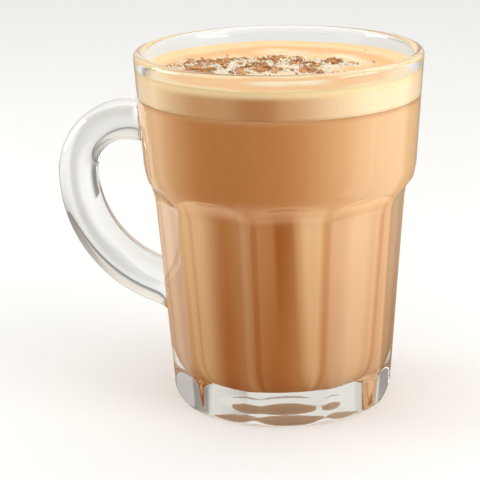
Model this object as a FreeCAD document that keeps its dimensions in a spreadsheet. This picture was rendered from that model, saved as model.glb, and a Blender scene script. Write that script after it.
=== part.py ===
"""A pressed glass mug of masala chai: a faceted glass with a C handle, milky tea and a foam layer.

Frame: millimetres, +Z up, origin on the mug's axis in the plane it stands on, the handle on the -X side.
The sheet "sizes" holds the driving dimensions, and every sketch and feature is bound to its cells.
One hollow, drawn once, is cut out of the glass and then filled by the tea and the foam, so they always fit.
"""

import FreeCAD, Part

import math
import os

import Sketcher
from FreeCAD import Placement, Rotation, Vector

# Driving dimensions: millimetres, degrees for angles, and a count.
SIZES = {
    # the round glass, from the rim down
    "mugHeight": 107.5,
    "rimRadius": 43.0,
    "rimWall": 3.1,
    "rimRounding": 1.45,
    "bandDepth": 32.5,
    "bandDraft": 2.0,
    "shoulderDepth": 15.0,
    "shoulderStep": 3.4,
    "footDraft": 4.0,
    "footRounding": 3.0,
    # the inside and the underside
    "bandWall": 3.3,
    "sideWall": 3.0,
    "floorThickness": 8.5,
    "floorRounding": 11.5,
    "dimpleRadius": 11.4,
    "dimpleDepth": 1.0,
    # the pressed facets
    "facetCount": 10,
    "facetDepth": 1.45,
    "facetFlareStart": 2.5,
    "facetFlareRadius": 9.0,
    # the handle: its centreline and its soft-cornered section
    "handleDrop": 23.3,
    "handleArm": 4.3,
    "handleBendRadius": 17.6,
    "handleSweepRadius": 34.5,
    "handleSweepAngle": 72.0,
    "handleWidth": 13.4,
    "handleArmThickness": 12.4,
    "handleGripThickness": 11.2,
    "handleRootThickness": 14.4,
    "handleEdgeRadius": 5.2,
    "handleRootRounding": 3.0,
    # what is in the glass
    "foamGap": 5.1,
    "foamDepth": 8.0,
}

OVERSHOOT = 6.0  # how far a cutting shape runs past the glass
FLARE_REACH = 0.75  # how far out the facet's flare turns, in its own radii: well past the band
ROOT_SINK = 9.0  # how far the handle's ends run into the blank, which the hollow then trims
ON_SURFACE = 1e-4  # a point this near a face lies on it
START, END, CENTRE = 1, 2, 3  # a sketch curve's points
H_AXIS, V_AXIS = -1, -2  # a sketch's own axes

# Relations that several features share, each written once.
BAND_RADIUS = "(sizes.rimRadius - sizes.bandDraft)"
BAND_HEIGHT = "(sizes.mugHeight - sizes.bandDepth)"
WAIST_RADIUS = f"({BAND_RADIUS} - sizes.shoulderStep)"
WAIST_HEIGHT = f"({BAND_HEIGHT} - sizes.shoulderDepth)"
FOOT_RADIUS = f"({WAIST_RADIUS} - sizes.footDraft)"
FOAM_BOTTOM = "(sizes.mugHeight - sizes.foamGap - sizes.foamDepth)"
HANDLE_HEIGHT = "(sizes.mugHeight - sizes.handleDrop)"
BEND_REACH = "(sizes.rimRadius + sizes.handleArm)"
GRIP_REACH = f"({BEND_REACH} + sizes.handleBendRadius)"
GRIP_HEIGHT = f"({HANDLE_HEIGHT} - sizes.handleBendRadius)"

doc = FreeCAD.newDocument("masala_chai")
sheet = doc.addObject("Spreadsheet::Sheet", "sizes")
for row, (alias, value) in enumerate(SIZES.items(), start=1):
    sheet.set(f"A{row}", alias)
    sheet.set(f"B{row}", str(value))
    sheet.setAlias(f"B{row}", alias)
doc.recompute()


def size(expression):
    """What an expression of the sheet's cells is worth now: a sketch is drawn there, then bound to it."""
    found = sheet.evalExpression(str(expression).replace("sizes.", ""))
    return float(getattr(found, "Value", found))


def sketch_on(body, name, role):
    """A new sketch on one of the body's own origin planes."""
    sketch = body.newObject("Sketcher::SketchObject", name)
    plane = next(f for f in body.Origin.OriginFeatures if f.Role == role)
    sketch.AttachmentSupport = [(plane, "")]
    sketch.MapMode = "FlatFace"
    return sketch


def bind(sketch, kind, *arguments, to):
    """Adds a constraint with a size and binds that size to an expression."""
    index = sketch.addConstraint(Sketcher.Constraint(kind, *arguments, size(to)))
    sketch.setExpression(f"Constraints[{index}]", str(to))


def pin(sketch, curve, point, x=None, y=None):
    """Holds a curve's point at an x, a y or both. 0 puts it on the sketch's axis."""
    for kind, axis, to in (("DistanceX", V_AXIS, x), ("DistanceY", H_AXIS, y)):
        if to == 0:
            sketch.addConstraint(Sketcher.Constraint("PointOnObject", curve, point, axis))
        elif to is not None:
            bind(sketch, kind, H_AXIS, START, curve, point, to=to)


def line(sketch, start, end):
    """A straight edge between two (x, y) pairs of expressions or numbers."""
    ends = [Vector(size(x), size(y), 0) for x, y in (start, end)]
    return sketch.addGeometry(Part.LineSegment(*ends))


def arc(sketch, centre, radius, first, last):
    """A round edge, counter-clockwise from the first angle to the last, in degrees."""
    circle = Part.Circle(Vector(size(centre[0]), size(centre[1]), 0), Vector(0, 0, 1), size(radius))
    turns = [math.radians(size(angle)) for angle in (first, last)]
    return sketch.addGeometry(Part.ArcOfCircle(circle, *turns))


def join(sketch, *pairs, kind="Coincident"):
    """Joins curve ends, given as (curve, point, curve, point); kind Tangent joins them smoothly."""
    for pair in pairs:
        sketch.addConstraint(Sketcher.Constraint(kind, *pair))


def revolved_vessel(name, floor, corner, foot_radius, waist_radius, band_radius, rim, top):
    """A solid of revolution with the glass's profile: floor, rounded corner, tapered side, S-shaped shoulder
    of two equal arcs, and the plain band up to the top. The outside and the hollow are both drawn by it."""
    body = doc.addObject("PartDesign::Body", name)
    sketch = sketch_on(body, f"{name}_profile", "XZ_Plane")
    step, depth = size(band_radius) - size(waist_radius), size("sizes.shoulderDepth")
    bend = (step**2 + depth**2) / (4 * step)  # about the radius of the S's two arcs; its ends fix the true one
    floor_line = line(sketch, (0, floor), (f"{foot_radius} - {corner}", floor))
    corner_arc = arc(sketch, (f"{foot_radius} - {corner}", f"{floor} + {corner}"), corner, -90, 0)
    side = line(sketch, (foot_radius, f"{floor} + {corner}"), (waist_radius, WAIST_HEIGHT))
    lower = arc(sketch, (f"{waist_radius} + {bend}", WAIST_HEIGHT), bend, 155, 180)
    upper = arc(sketch, (f"{band_radius} - {bend}", BAND_HEIGHT), bend, -25, 0)
    band = line(sketch, (band_radius, BAND_HEIGHT), (rim, top))
    lid = line(sketch, (rim, top), (0, top))
    axis = line(sketch, (0, top), (0, floor))
    smooth = [
        (floor_line, END, corner_arc, START),
        (corner_arc, END, side, START),
        (side, END, lower, END),
        (lower, START, upper, START),
        (upper, END, band, START),
    ]
    join(sketch, *smooth, kind="Tangent")
    join(sketch, (band, END, lid, START), (lid, END, axis, START), (axis, END, floor_line, START))
    for flat in (floor_line, lid):
        sketch.addConstraint(Sketcher.Constraint("Horizontal", flat))
    sketch.addConstraint(Sketcher.Constraint("Equal", lower, upper))
    pin(sketch, floor_line, START, x=0, y=floor)
    pin(sketch, lid, END, x=0)
    bind(sketch, "Radius", corner_arc, to=corner)
    pin(sketch, corner_arc, END, x=foot_radius)
    pin(sketch, side, END, x=waist_radius, y=WAIST_HEIGHT)
    pin(sketch, upper, END, x=band_radius, y=BAND_HEIGHT)
    pin(sketch, band, END, x=rim, y=top)
    turned = body.newObject("PartDesign::Revolution", f"{name}_turned")
    turned.Profile = sketch
    turned.ReferenceAxis = (sketch, ["V_Axis"])
    turned.Angle = 360
    return body


def facets(body):
    """The pressed facets: one flat that flares out into the shoulder, cut on the handle's side and repeated
    round the axis. Each stops a little short of the next, which leaves a narrow rounded ridge between them."""
    sketch = sketch_on(body, "facet_profile", "XZ_Plane")
    foot, waist = (f"-({r} - sizes.facetDepth)" for r in (FOOT_RADIUS, WAIST_RADIUS))
    flare_height = f"({WAIST_HEIGHT} + sizes.facetFlareStart)"
    flare = "sizes.facetFlareRadius"
    outside = f"-(sizes.rimRadius + {OVERSHOOT})"
    flat = line(sketch, (foot, -OVERSHOOT), (waist, flare_height))
    flare_end = (f"{waist} - {flare} * {FLARE_REACH}", f"{flare_height} + {flare}")
    flare_arc = arc(sketch, (f"{waist} - {flare}", flare_height), flare, 3, 75)
    top = line(sketch, flare_end, (outside, flare_end[1]))
    side = line(sketch, (outside, flare_end[1]), (outside, -OVERSHOOT))
    bottom = line(sketch, (outside, -OVERSHOOT), (foot, -OVERSHOOT))
    foot_point = sketch.addGeometry(Part.Point(Vector(size(foot), 0, 0)), True)
    join(sketch, (flat, END, flare_arc, START), kind="Tangent")
    join(sketch, (flare_arc, END, top, START), (top, END, side, START))
    join(sketch, (side, END, bottom, START), (bottom, END, flat, START))
    for level in (top, bottom):
        sketch.addConstraint(Sketcher.Constraint("Horizontal", level))
    sketch.addConstraint(Sketcher.Constraint("Vertical", side))
    sketch.addConstraint(Sketcher.Constraint("PointOnObject", foot_point, START, flat))
    pin(sketch, foot_point, START, x=foot, y=0)
    pin(sketch, flat, END, x=waist, y=flare_height)
    bind(sketch, "Radius", flare_arc, to=flare)
    bind(sketch, "DistanceX", flare_arc, END, flare_arc, START, to=f"{flare} * {FLARE_REACH}")
    pin(sketch, side, END, x=outside, y=-OVERSHOOT)
    cut = body.newObject("PartDesign::Pocket", "facet")
    cut.Profile = sketch
    cut.SideType = "Symmetric"
    cut.Type = "Length"
    cut.setExpression("Length", WAIST_RADIUS)
    ring = body.newObject("PartDesign::PolarPattern", "facet_ring")
    ring.Originals = [cut]
    ring.Axis = (sketch, ["V_Axis"])
    ring.Angle = 360
    ring.setExpression("Occurrences", "sizes.facetCount")
    body.Tip = ring
    return ring


def section(body, name, reach, height, turn, thickness):
    """A section of the handle: a soft-cornered oblong on the handle's centreline, at a reach from the mug's
    axis and a height, turned as far as the line has turned. Its x lies across the handle, its y away from
    the finger gap."""
    sketch = sketch_on(body, name, "YZ_Plane")
    sketch.AttachmentOffset = Placement(Vector(), Rotation(Vector(1, 0, 0), size(turn)))
    sketch.setExpression("AttachmentOffset.Rotation.Angle", turn)
    sketch.setExpression("AttachmentOffset.Base.y", height)
    sketch.setExpression("AttachmentOffset.Base.z", f"-{reach}")
    x, y = "(sizes.handleWidth / 2)", f"({thickness} / 2)"
    soft = f"min(sizes.handleEdgeRadius; {x} * 0.92; {y} * 0.92)"
    r = size(soft)
    sides = [
        line(sketch, (f"{r} - {x}", f"-{y}"), (f"{x} - {r}", f"-{y}")),
        line(sketch, (x, f"{r} - {y}"), (x, f"{y} - {r}")),
        line(sketch, (f"{x} - {r}", y), (f"{r} - {x}", y)),
        line(sketch, (f"-{x}", f"{y} - {r}"), (f"-{x}", f"{r} - {y}")),
    ]
    corners = [
        arc(sketch, (f"{x} - {r}", f"{r} - {y}"), r, -90, 0),
        arc(sketch, (f"{x} - {r}", f"{y} - {r}"), r, 0, 90),
        arc(sketch, (f"{r} - {x}", f"{y} - {r}"), r, 90, 180),
        arc(sketch, (f"{r} - {x}", f"{r} - {y}"), r, 180, 270),
    ]
    for side, corner, following in zip(sides, corners, sides[1:] + sides[:1]):
        join(sketch, (side, END, corner, START), (corner, END, following, START), kind="Tangent")
    for number, (side, way) in enumerate(zip(sides, ("Horizontal", "Vertical") * 2)):
        sketch.addConstraint(Sketcher.Constraint(way, side))
        if number:
            sketch.addConstraint(Sketcher.Constraint("Equal", corners[0], corners[number]))
    bind(sketch, "Radius", corners[0], to=soft)
    pin(sketch, sides[0], START, y=f"-{y}")
    pin(sketch, sides[1], START, x=x)
    pin(sketch, sides[2], START, y=y)
    pin(sketch, sides[3], START, x=f"-{x}")
    return sketch


def handle(body):
    """The handle: a level arm out of the band, a tight upper bend, then a long sweep back into the side. Its
    section is swept along that line, and thickens from the grip to the root where it comes back to the side."""
    bend, sweep = "sizes.handleBendRadius", "sizes.handleSweepRadius"
    slope = "(90 - sizes.handleSweepAngle)"
    top_inside = f"({BAND_RADIUS} - {ROOT_SINK})"
    root_inside = f"({FOOT_RADIUS} - {ROOT_SINK})"
    sweep_end = f"({GRIP_REACH} - {sweep} * (1 - cos(sizes.handleSweepAngle)))"
    root_height = (
        f"({GRIP_HEIGHT} - {sweep} * sin(sizes.handleSweepAngle)"
        f" - ({sweep_end} - {root_inside}) * tan{slope})"
    )
    spine = sketch_on(body, "handle_line", "XZ_Plane")
    arm = line(spine, (f"-{top_inside}", HANDLE_HEIGHT), (f"-{BEND_REACH}", HANDLE_HEIGHT))
    upper = arc(spine, (f"-{BEND_REACH}", GRIP_HEIGHT), bend, 90, 180)
    lower = arc(spine, (f"{sweep} - {GRIP_REACH}", GRIP_HEIGHT), sweep, 180, "180 + sizes.handleSweepAngle")
    reach_end = f"{GRIP_HEIGHT} - {sweep} * sin(sizes.handleSweepAngle)"
    root = line(spine, (f"-{sweep_end}", reach_end), (f"-{root_inside}", root_height))
    join(spine, (arm, END, upper, START), (upper, END, lower, START), (lower, END, root, START), kind="Tangent")
    spine.addConstraint(Sketcher.Constraint("Horizontal", arm))
    spine.addConstraint(Sketcher.Constraint("Horizontal", upper, CENTRE, upper, END))
    pin(spine, arm, START, x=f"-{top_inside}", y=HANDLE_HEIGHT)
    pin(spine, arm, END, x=f"-{BEND_REACH}")
    bind(spine, "Radius", upper, to=bend)
    bind(spine, "Radius", lower, to=sweep)
    pin(spine, root, END, x=f"-{root_inside}", y=root_height)

    first = section(body, "handle_arm_section", top_inside, HANDLE_HEIGHT, "0", "sizes.handleArmThickness")
    grip = section(body, "handle_grip_section", GRIP_REACH, GRIP_HEIGHT, "-90", "sizes.handleGripThickness")
    last = section(
        body, "handle_root_section", root_inside, root_height, "-90 - sizes.handleSweepAngle",
        "sizes.handleRootThickness",
    )
    pipe = body.newObject("PartDesign::AdditivePipe", "handle")
    pipe.Profile = first
    pipe.Spine = spine
    pipe.Transformation = "Multisection"
    pipe.Sections = [(grip, [""]), (last, [""])]
    body.Tip = pipe
    return pipe


def middle_of(edge):
    """The point halfway along an edge."""
    return Part.Vertex(edge.valueAt((edge.FirstParameter + edge.LastParameter) / 2))


def seam(whole, base):
    """The names of the edges where something was joined to base: on its faces, but on none of its edges."""
    skin, creases = Part.makeCompound(base.Faces), Part.makeCompound(base.Edges)
    return [
        f"Edge{number}"
        for number, edge in enumerate(whole.Edges, start=1)
        if middle_of(edge).distToShape(skin)[0] < ON_SURFACE
        and middle_of(edge).distToShape(creases)[0] > ON_SURFACE
    ]


def rim_circles(shape, height):
    """The numbers of the closed edges that lie level at this height: the rim's two corners."""
    return [
        number
        for number, edge in enumerate(shape.Edges, start=1)
        if edge.isClosed() and abs(edge.CenterOfMass.z - height) < ON_SURFACE
    ]


def root_fillet(body, pipe, before):
    """The soft glass fillet round both of the handle's roots, no wider than a facet leaves room for."""
    fillet = body.newObject("PartDesign::Fillet", "handle_roots")
    fillet.Base = (pipe, seam(pipe.Shape, before.Shape))
    facet_half = f"({FOOT_RADIUS} - sizes.facetDepth) * tan(180 / sizes.facetCount)"
    room = f"({facet_half} - sizes.handleWidth / 2) * 0.8"
    fillet.setExpression("Radius", f"min(sizes.handleRootRounding; {room})")
    body.Tip = fillet
    return fillet


def glass_mug(hollow):
    """One piece of glass: the faceted blank with its handle, less the hollow and the shallow dimple beneath,
    with a rounded rim. The rim's rounding is limited by its wall."""
    blank = revolved_vessel(
        "blank", 0, "sizes.footRounding", FOOT_RADIUS, WAIST_RADIUS, BAND_RADIUS,
        "sizes.rimRadius", "sizes.mugHeight",
    )
    ring = facets(blank)
    doc.recompute()
    pipe = handle(blank)
    doc.recompute()
    root_fillet(blank, pipe, ring)
    ball = "(sizes.dimpleRadius ^ 2 + sizes.dimpleDepth ^ 2) / (2 * sizes.dimpleDepth)"
    dimple = doc.addObject("Part::Sphere", "dimple")
    dimple.setExpression("Radius", ball)
    dimple.setExpression("Placement.Base.z", f"sizes.dimpleDepth - {ball}")
    cutters = doc.addObject("Part::MultiFuse", "cutters")
    cutters.Shapes = [hollow, dimple]
    opened = doc.addObject("Part::Cut", "opened")
    opened.Base = blank
    opened.Tool = cutters
    doc.recompute()
    mug = doc.addObject("Part::Fillet", "glass_mug")
    mug.Base = opened
    radius = size("min(sizes.rimRounding; sizes.rimWall * 0.47)")
    mug.Edges = [(number, radius, radius) for number in rim_circles(opened.Shape, size("sizes.mugHeight"))]
    mug.Label = "glass_mug"
    return mug


def filling(name, hollow, low, depth):
    """What fills a level stretch of the hollow, out to the glass on every side."""
    slab = doc.addObject("Part::Cylinder", f"{name}_slab")
    slab.setExpression("Radius", "sizes.rimRadius")
    slab.setExpression("Height", depth)
    slab.setExpression("Placement.Base.z", low)
    content = doc.addObject("Part::Common", name)
    content.Base = hollow
    content.Tool = slab
    content.Label = name
    return content


def checked(item):
    """The sub-part's shape, once it is known to be one good solid."""
    shape = item.Shape
    if shape.isNull() or not shape.isValid() or len(shape.Solids) != 1:
        raise RuntimeError(f"{item.Label} is not one valid solid")
    return shape


hollow = revolved_vessel(
    "hollow", "sizes.floorThickness", "sizes.floorRounding",
    f"({FOOT_RADIUS} - sizes.facetDepth - sizes.sideWall)",
    f"({WAIST_RADIUS} - sizes.facetDepth - sizes.sideWall)",
    f"({BAND_RADIUS} - sizes.bandWall)",
    "(sizes.rimRadius - sizes.rimWall)", "sizes.mugHeight",
)
parts = [
    glass_mug(hollow),
    filling("chai", hollow, "0", FOAM_BOTTOM),
    filling("foam", hollow, FOAM_BOTTOM, "sizes.foamDepth"),
]
doc.recompute()
for item in doc.Objects:
    if "Invalid" in item.State or "Error" in item.State:
        raise RuntimeError(f"{item.Name} failed: {item.getStatusString()}")

os.makedirs("parts", exist_ok=True)
for part in parts:
    shape = checked(part)
    shape.exportStep(f"parts/{part.Label}.step")
    box = shape.optimalBoundingBox()
    print(part.Label, f"{shape.Volume / 1000:.1f} cm3", f"{box.XLength:.1f} x {box.YLength:.1f} x {box.ZLength:.1f} mm")
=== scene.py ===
# %% [markdown]
# # A glass mug of masala chai
#
# The mug is one piece of pressed glass: a round band on top, ten flat facets below it, a thick floor and a
# C-shaped handle. It holds milky spiced tea, a layer of foam on the tea, a patch of white froth bubbles and
# ground spice sprinkled over the middle.
#
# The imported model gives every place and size. This notebook builds the finer surfaces that clear glass,
# liquid and froth need, then gives each of them its finish, its light and a camera.

# %% Load the fixed frame
import math

import bmesh
import bpy
import numpy as np
from mathutils import Matrix, Vector


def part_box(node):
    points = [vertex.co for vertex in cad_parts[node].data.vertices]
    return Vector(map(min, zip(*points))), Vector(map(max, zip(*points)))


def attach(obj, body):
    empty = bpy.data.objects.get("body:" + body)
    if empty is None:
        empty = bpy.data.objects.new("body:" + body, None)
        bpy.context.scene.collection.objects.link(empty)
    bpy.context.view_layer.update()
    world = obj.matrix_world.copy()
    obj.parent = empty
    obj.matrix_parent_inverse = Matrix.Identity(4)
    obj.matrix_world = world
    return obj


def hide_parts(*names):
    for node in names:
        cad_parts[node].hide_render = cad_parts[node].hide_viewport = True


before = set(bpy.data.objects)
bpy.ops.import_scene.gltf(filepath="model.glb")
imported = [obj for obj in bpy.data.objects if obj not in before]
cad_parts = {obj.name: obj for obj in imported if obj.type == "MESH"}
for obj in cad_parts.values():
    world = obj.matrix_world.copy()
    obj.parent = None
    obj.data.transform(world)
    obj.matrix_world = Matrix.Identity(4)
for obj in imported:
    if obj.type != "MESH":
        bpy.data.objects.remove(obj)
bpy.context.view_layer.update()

MM = 0.001

# %% [markdown]
# ## The mug's measures
#
# Heights come from the frame's nodes, so the drink and the foam meet where the model says. The rest are the
# few radii and slopes that a drawing of the mug would show, and the radius of the smallest ring round a
# pole. All of them are millimetres, and one factor turns them into metres when a mesh is made.

# %% Heights from the frame, radii from the drawing
RIM_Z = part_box("glass_mug")[1][2] / MM
FOAM_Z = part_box("foam")[1][2] / MM
TEA_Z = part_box("foam")[0][2] / MM
FLOOR_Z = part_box("chai")[0][2] / MM
BAND_Z = RIM_Z - 32.5
WAIST_Z = BAND_Z - 15.0

RIM_R = 43.0
BAND_R = RIM_R - 2.0
WAIST_R = BAND_R - 3.4
FOOT_R = WAIST_R - 4.2
FOOT_ROUND = 3.0
RIM_WALL = 3.1
RIM_ROUND = 1.45
BAND_WALL = 3.3
SIDE_WALL = 4.45
FLOOR_R = 28.6
FLOOR_ROUND = 11.5
DIMPLE_R = 11.4
DIMPLE_DEPTH = 1.0
POLE_RING = 1.0
print("rim", round(RIM_Z, 1), "foam", round(FOAM_Z, 1), "tea", round(TEA_Z, 1), "floor", round(FLOOR_Z, 1))

# %% [markdown]
# ## Drawing a profile
#
# Round glassware is a profile turned about an axis. A profile here is a list of (radius, height) points,
# joined from straight runs, round corners and one S-shaped bend. Each helper leaves out its last point,
# which is the next helper's first, so the pieces chain without doubles. A curve object with a Screw
# modifier could turn the profile too, but a plain grid leaves room for the facets and the handle.

# %% Circles, straight runs, round corners and the S bend
def unit(way):
    """A direction divided by its length."""
    return way / np.linalg.norm(way)


def all_round(count):
    """Even directions round a circle: the share of the count times a whole turn."""
    return np.arange(count) / count * 2 * math.pi


def turned_points(radius, angle, z):
    """Points about the axis: the radius times the cosine and sine of the direction, and the height."""
    return np.stack(np.broadcast_arrays(radius * np.cos(angle), radius * np.sin(angle), z), axis=-1)


def run(start, end, steps):
    """A straight run: the start times (1 - share) plus the end times the share."""
    share = np.arange(steps)[:, None] / steps
    return np.array(start) * (1 - share) + np.array(end) * share


def swing(centre, first, last, steps):
    """An arc: the centre plus the radius times the cosine and sine of an angle that goes the short way."""
    reach = np.subtract(first, centre)
    begin = math.atan2(reach[1], reach[0])
    stop = math.atan2(last[1] - centre[1], last[0] - centre[0])
    turn = (stop - begin + math.pi) % (2 * math.pi) - math.pi
    angle = begin + turn * np.arange(steps) / steps
    return np.array(centre) + np.linalg.norm(reach) * np.column_stack([np.cos(angle), np.sin(angle)])


def corner(before, at, after, radius, steps):
    """A rounded corner: the arc that touches both sides. Its centre lies on the line that halves the
    corner's angle, at the radius over the sine of half that angle. Returns the arc and where it ends."""
    back, on = unit(np.subtract(before, at)), unit(np.subtract(after, at))
    half = math.acos(back @ on) / 2
    centre = at + unit(back + on) * radius / math.sin(half)
    first, last = at + back * radius / math.tan(half), at + on * radius / math.tan(half)
    return swing(centre, first, last, steps), first, last


def s_bend(low, low_way, high, high_way, steps):
    """Two arcs of one radius that leave the low point and reach the high point along the given ways. The
    centres stand one radius to the right of the first way and to the left of the second, and two radii
    apart, which gives a quadratic equation for the radius."""
    low, high = np.array(low), np.array(high)
    right = np.array([low_way[1], -low_way[0]])
    left = np.array([-high_way[1], high_way[0]])
    gap, spread = low - high, right - left
    a, b, c = spread @ spread - 4, 2 * gap @ spread, gap @ gap
    roots = np.roots([a, b, c])
    radius = float(min(r.real for r in roots if abs(r.imag) < 1e-9 and r.real > 0))
    first, second = low + right * radius, high + left * radius
    middle = (first + second) / 2
    return np.vstack([swing(first, low, middle, steps // 2), swing(second, middle, high, steps // 2)])


print("a round corner of 3 mm starts", np.round(corner((0, 0), (33.4, 0), (37.6, 60), 3.0, 4)[1], 2))

# %% [markdown]
# ## The outside and the hollow
#
# The outside climbs from the shallow dimple under the foot, round the foot, up the side, through the shoulder
# to the band and over the rim. The hollow goes down from there. Tea and foam are made from the same hollow,
# grown by a hair so that they reach just into the glass: in a real mug there's no air between them either,
# and a thin film of air would look like a mirror.

# %% The two profiles
def spaced(low, high, step):
    """How many steps of about this length fit between two heights."""
    return max(1, round(abs(high - low) / step))


def band_radius(z):
    """The band's radius at a height: a straight taper from the shoulder to the rim."""
    return BAND_R + (RIM_R - BAND_R) * (z - BAND_Z) / (RIM_Z - BAND_Z)


def outside_profile():
    """The outer profile, bottom to top, with the rows at which each of the handle's openings starts and
    ends. Rows are closest in the shoulder, where the facets' tops curve."""
    side_way = unit(np.array([WAIST_R - FOOT_R, WAIST_Z]))
    band_way = unit(np.array([RIM_R - BAND_R, RIM_Z - BAND_Z]))
    foot, _, foot_end = corner((0, 0), (FOOT_R, 0), (WAIST_R, WAIST_Z), FOOT_ROUND, 9)
    rim, rim_start, _ = corner((BAND_R, BAND_Z), (RIM_R, RIM_Z), (0, RIM_Z), RIM_ROUND, 8)

    def on_side(z):
        return (FOOT_R + (WAIST_R - FOOT_R) * z / WAIST_Z, z)

    def on_band(z):
        return (band_radius(z), z)

    reach = np.linspace(POLE_RING / 2, DIMPLE_R, 9)[:-1]
    dimple = np.column_stack([reach, DIMPLE_DEPTH * (1 - (reach / DIMPLE_R) ** 2)])
    pieces = [
        ("dimple", dimple),
        ("ring", run((DIMPLE_R, 0), foot[0], 6)),
        ("foot", foot),
        ("side", run(foot_end, on_side(LOW_ROOT[0]), spaced(foot_end[1], LOW_ROOT[0], 1.3))),
        ("low root", run(on_side(LOW_ROOT[0]), on_side(LOW_ROOT[1]), LOW_ROWS)),
        ("waist", run(on_side(LOW_ROOT[1]), (WAIST_R, WAIST_Z), spaced(LOW_ROOT[1], WAIST_Z, 1.2))),
        ("shoulder", s_bend((WAIST_R, WAIST_Z), side_way, (BAND_R, BAND_Z), band_way, 44)),
        ("band", run((BAND_R, BAND_Z), on_band(TOP_ROOT[0]), 1)),
        ("top root", run(on_band(TOP_ROOT[0]), on_band(TOP_ROOT[1]), TOP_ROWS)),
        ("above", run(on_band(TOP_ROOT[1]), rim_start, spaced(TOP_ROOT[1], RIM_Z, 1.0))),
        ("rim", rim),
    ]
    starts = np.cumsum([0] + [len(points) for _, points in pieces])
    first_row = {name: int(row) for (name, _), row in zip(pieces, starts)}
    return np.vstack([points for _, points in pieces]), first_row


def hollow_profile(grow, top, step):
    """The inside from a top height down to the floor's middle, grown outwards by a small amount."""
    rim, band = (RIM_R - RIM_WALL + grow, RIM_Z), (BAND_R - BAND_WALL + grow, BAND_Z)
    waist, floor = (WAIST_R - SIDE_WALL + grow, WAIST_Z), (FLOOR_R + grow, FLOOR_Z - grow)
    band_way, side_way = unit(np.subtract(rim, band)), unit(np.subtract(waist, floor))
    bend = s_bend(waist, side_way, band, band_way, 16)
    knee, knee_end, knee_start = corner((0, floor[1]), floor, waist, FLOOR_ROUND, 9)
    share = (top - BAND_Z) / (RIM_Z - BAND_Z)
    start = (band[0] + (rim[0] - band[0]) * share, top)
    return np.vstack([
        run(start, band, spaced(top, BAND_Z, step)),
        np.vstack([bend, band])[:0:-1],
        run(waist, knee_start, spaced(waist[1], knee_start[1], step * 2)),
        np.vstack([knee, knee_start])[:0:-1],
        run(knee_end, (POLE_RING, floor[1]), 6),
        [[POLE_RING, floor[1]]],
    ])


TOP_ROOT, TOP_ROWS = (75.6, 93.2), 20
LOW_ROOT, LOW_ROWS = (21.2, 42.2), 18
outside, first_row = outside_profile()
inner_edge, inner_band = (RIM_R - RIM_WALL, RIM_Z), (BAND_R - BAND_WALL, BAND_Z)
_, _, inner_rim_end = corner((0, RIM_Z), inner_edge, inner_band, RIM_ROUND, 8)
inner_rim, _, _ = corner((RIM_R, RIM_Z), inner_edge, inner_band, RIM_ROUND, 8)
inside = hollow_profile(0.0, inner_rim_end[1], 1.8)
print("outside rows", len(outside), "inside rows", len(inner_rim) + len(inside))

# %% [markdown]
# ## Facets
#
# A pressed facet is a flat cut into the round side. Seen from above it's a straight line, whose distance
# from the axis in a direction `a` away from the facet's middle is the flat's distance over cos(a). So the
# faceted outside is the smaller of that and the round radius, at each height and each direction. At its
# top each flat curves outwards into the shoulder, and that gives the arches that show there. Boolean cuts
# would give the same shape with ragged triangles, which clear glass shows at once: a grid bends light
# evenly.

# %% The faceted radius over the whole grid
FACETS = 10
FACET_COLUMNS = 36
FACET_FOOT = 32.15
FACET_WAIST = 36.15
FLARE_Z = WAIST_Z + 2.5
FLARE_R = 9.0
FACET_SLOPE = (FACET_WAIST - FACET_FOOT) / FLARE_Z
CREASE = 0.34
EDGE_CROWD = 0.75
WAVE = 0.03


def soft_min(a, b, soft):
    """The smaller of two radii, less a quarter of `soft` times the square of how near they are: that
    rounds the crease between two surfaces over."""
    near = np.clip(1 - np.abs(a - b) / soft, 0, None)
    return np.minimum(a, b) - near**2 * soft / 4


def facet_distance(z):
    """A flat's distance from the axis: a straight line up to the flare, then an arc that curves outwards,
    its radius less the root of the radius squared minus the rise squared."""
    rise = np.clip(z - FLARE_Z, 0, FLARE_R * 0.999)
    return FACET_FOOT + FACET_SLOPE * z + FLARE_R - np.sqrt(FLARE_R**2 - rise**2)


def column_angles():
    """The grid's directions. Within a facet they follow a quarter straight line and three quarters sine, so
    that they crowd where two facets meet. The handle's facet is in the middle of the list."""
    share = np.arange(FACET_COLUMNS) / FACET_COLUMNS * 2 - 1
    half = math.pi / FACETS
    within = half * ((1 - EDGE_CROWD) * share + EDGE_CROWD * np.sin(share * math.pi / 2))
    middles = math.pi + (np.arange(FACETS) - FACETS // 2) * 2 * half
    return (middles[:, None] + within[None, :]).ravel(), np.tile(within, FACETS)


theta, off_middle = column_angles()
faceted = soft_min(outside[:, :1], facet_distance(outside[:, 1:]) / np.cos(off_middle)[None, :], CREASE)
round_part = np.repeat(np.vstack([inner_rim, inside])[:, :1], len(theta), axis=1)
radius = np.vstack([faceted, round_part])
height = np.concatenate([outside[:, 1], inner_rim[:, 1], inside[:, 1]])
up = height[:, None]
wobble = np.sin(3 * theta + up / 17) + np.sin(5 * theta - up / 11)
radius = radius + WAVE * wobble * np.clip(up / 10, 0, 1) * (radius > 20)
ridge = np.interp(30, outside[:, 1], faceted.max(1))
print("glass grid", radius.shape, "ridge radius at 30 mm", round(float(ridge), 2))

# %% [markdown]
# ## The handle
#
# The handle is drawn out of the same melt, so it has no seam with the body: each root spreads into the
# side with a soft fillet. Two windows are left out of the body's grid, and a tube joins them. The tube
# follows a level arm, a tight bend and a long sweep. Between a window's edge and the tube's first ring,
# each pair of points is joined by a Bezier curve whose handles aim at the corner that a sharp joint would
# have, which makes the fillet.

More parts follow.
